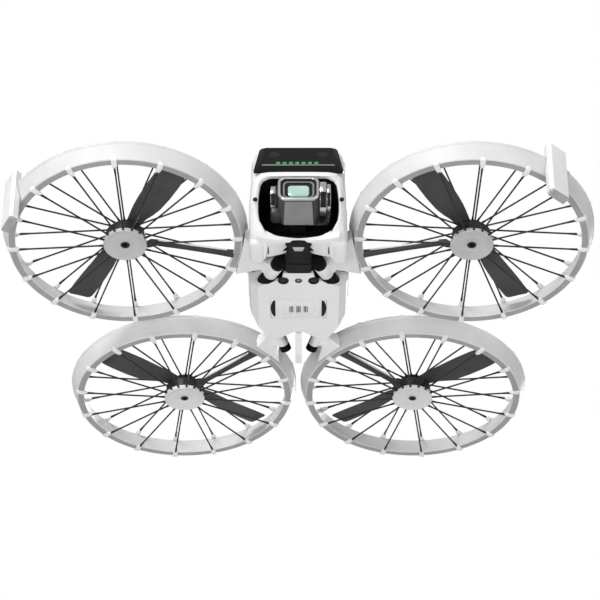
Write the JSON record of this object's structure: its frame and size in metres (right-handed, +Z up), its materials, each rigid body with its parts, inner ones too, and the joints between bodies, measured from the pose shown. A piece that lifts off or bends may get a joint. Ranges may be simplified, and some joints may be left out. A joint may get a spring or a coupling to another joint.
{
  "type": "folding camera drone",
  "caption": "Compact folding camera drone with wide spoked propeller guards that fold down under a slim body, and a small gimbal camera in the nose.",
  "frame": {"origin": "centre of the footprint on the ground under the two leg pads and the tail skid, guards open", "axes": "+X to the right as seen looking at the nose from the front, +Y from nose to tail, +Z up"},
  "size_m": [0.2816, 0.2328, 0.0713],
  "materials": {
    "shell": "fine matte moulded",
    "guard": "satin moulded",
    "string": "woven carbon string",
    "hub": "satin",
    "winding": "enamelled copper wire on dark iron",
    "motor": "black anodised",
    "blade": "satin",
    "arm": "satin",
    "steel": "brushed",
    "window": "dark gloss",
    "mark": "gloss",
    "lens": "coated glass",
    "dark": "matte",
    "gimbal": "bead blasted",
    "glass": "coated glass",
    "rubber": "matte"
  },
  "bodies": {
    "fuselage": {"chassis": "dark", "hinge_pins": "steel", "tail_skid": "shell", "upper_shell": "shell", "nose_shell": "shell", "sensor_window": "window", "indicator_marks": "mark", "belly_cover": "motor", "vent_grille": "dark", "vision_lenses": "lens", "range_sensor": "lens", "belly_screws": "steel", "gimbal_bracket": "dark"},
    "guard_front_right": {"guard_ring_front_right": "guard", "guard_strings_front_right": "string", "hub_frame_front_right": "hub", "motor_stator_front_right": "winding", "motor_arm_front_right": "arm", "hinge_arm_front_right": "guard", "landing_leg_right": "guard", "foot_pad_right": "rubber"},
    "rotor_front_right": {"motor_bell_front_right": "motor", "propeller_front_right": "blade"},
    "guard_front_left": {"guard_ring_front_left": "guard", "guard_strings_front_left": "string", "hub_frame_front_left": "hub", "motor_stator_front_left": "winding", "motor_arm_front_left": "arm", "hinge_arm_front_left": "guard", "landing_leg_left": "guard", "foot_pad_left": "rubber"},
    "rotor_front_left": {"motor_bell_front_left": "motor", "propeller_front_left": "blade"},
    "guard_rear_right": {"guard_ring_rear_right": "guard", "guard_strings_rear_right": "string", "hub_frame_rear_right": "hub", "motor_stator_rear_right": "winding", "motor_arm_rear_right": "arm", "hinge_arm_rear_right": "guard"},
    "rotor_rear_right": {"motor_bell_rear_right": "motor", "propeller_rear_right": "blade"},
    "guard_rear_left": {"guard_ring_rear_left": "guard", "guard_strings_rear_left": "string", "hub_frame_rear_left": "hub", "motor_stator_rear_left": "winding", "motor_arm_rear_left": "arm", "hinge_arm_rear_left": "guard"},
    "rotor_rear_left": {"motor_bell_rear_left": "motor", "propeller_rear_left": "blade"},
    "battery": {"battery_pack": "shell"},
    "battery_latch_right": {"battery_latch_right": "shell"},
    "battery_latch_left": {"battery_latch_left": "shell"},
    "power_button": {"power_button": "dark"},
    "port_cover": {"port_cover": "shell"},
    "gimbal_yaw": {"gimbal_yaw_arm": "gimbal"},
    "gimbal_roll": {"gimbal_roll_arm": "gimbal"},
    "camera": {"camera_body": "dark", "lens_bezel": "dark", "lens_glass": "glass"}
  },
  "joints": [
    {"name": "guard_fold_front_right", "type": "hinge", "parent": "fuselage", "child": "guard_front_right", "pos_m": [0.01178, -0.04845, 0.00958], "axis": [0.3223, 0.9061, 0.2741], "range_deg": [0, 94.53]},
    {"name": "propeller_spin_front_right", "type": "hinge", "parent": "guard_front_right", "child": "rotor_front_right", "pos_m": [0.0819, -0.0582, 0.0169], "axis": [0.0332, 0.0419, 0.9986], "continuous": true},
    {"name": "guard_fold_front_left", "type": "hinge", "parent": "fuselage", "child": "guard_front_left", "pos_m": [-0.01178, -0.04845, 0.00958], "axis": [0.3223, -0.9061, -0.2741], "range_deg": [0, 94.53]},
    {"name": "propeller_spin_front_left", "type": "hinge", "parent": "guard_front_left", "child": "rotor_front_left", "pos_m": [-0.0819, -0.0582, 0.0169], "axis": [-0.0332, 0.0419, 0.9986], "continuous": true},
    {"name": "guard_fold_rear_right", "type": "hinge", "parent": "fuselage", "child": "guard_rear_right", "pos_m": [0.00891, 0.01305, 0.01766], "axis": [-0.3505, 0.8864, -0.3022], "range_deg": [0, 95.87]},
    {"name": "propeller_spin_rear_right", "type": "hinge", "parent": "guard_rear_right", "child": "rotor_rear_right", "pos_m": [0.0588, 0.05855, 0.0145], "axis": [0.0332, -0.0419, 0.9986], "continuous": true},
    {"name": "guard_fold_rear_left", "type": "hinge", "parent": "fuselage", "child": "guard_rear_left", "pos_m": [-0.00891, 0.01305, 0.01766], "axis": [-0.3505, -0.8864, 0.3022], "range_deg": [0, 95.87]},
    {"name": "propeller_spin_rear_left", "type": "hinge", "parent": "guard_rear_left", "child": "rotor_rear_left", "pos_m": [-0.0588, 0.05855, 0.0145], "axis": [-0.0332, -0.0419, 0.9986], "continuous": true},
    {"name": "gimbal_yaw", "type": "hinge", "parent": "fuselage", "child": "gimbal_yaw", "pos_m": [0, -0.06545, 0.0327], "axis": [0, 0, 1], "range_deg": [-5, 5]},
    {"name": "gimbal_roll", "type": "hinge", "parent": "gimbal_yaw", "child": "gimbal_roll", "pos_m": [0, -0.06545, 0.0257], "axis": [0, 1, 0], "range_deg": [-6, 6]},
    {"name": "gimbal_pitch", "type": "hinge", "parent": "gimbal_roll", "child": "camera", "pos_m": [0.013, -0.07995, 0.0257], "axis": [1, 0, 0], "range_deg": [-30, 90]},
    {"name": "battery_slide", "type": "slide", "parent": "fuselage", "child": "battery", "axis": [0, 1, 0], "range_m": [0, 0.075]},
    {"name": "battery_latch_press_right", "type": "slide", "parent": "battery", "child": "battery_latch_right", "axis": [-1, 0, 0], "range_m": [0, 0.0005], "stiffness_N_per_m": 800},
    {"name": "battery_latch_press_left", "type": "slide", "parent": "battery", "child": "battery_latch_left", "axis": [1, 0, 0], "range_m": [0, 0.0005], "stiffness_N_per_m": 800},
    {"name": "power_button_press", "type": "slide", "parent": "fuselage", "child": "power_button", "axis": [0, 0, -1], "range_m": [0, 0.0006], "stiffness_N_per_m": 800, "springref_m": -0.0002},
    {"name": "port_cover_hinge", "type": "hinge", "parent": "fuselage", "child": "port_cover", "pos_m": [-0.0246, -0.02595, 0.0397], "axis": [0, 1, 0], "range_deg": [0, 95]}
  ]
}
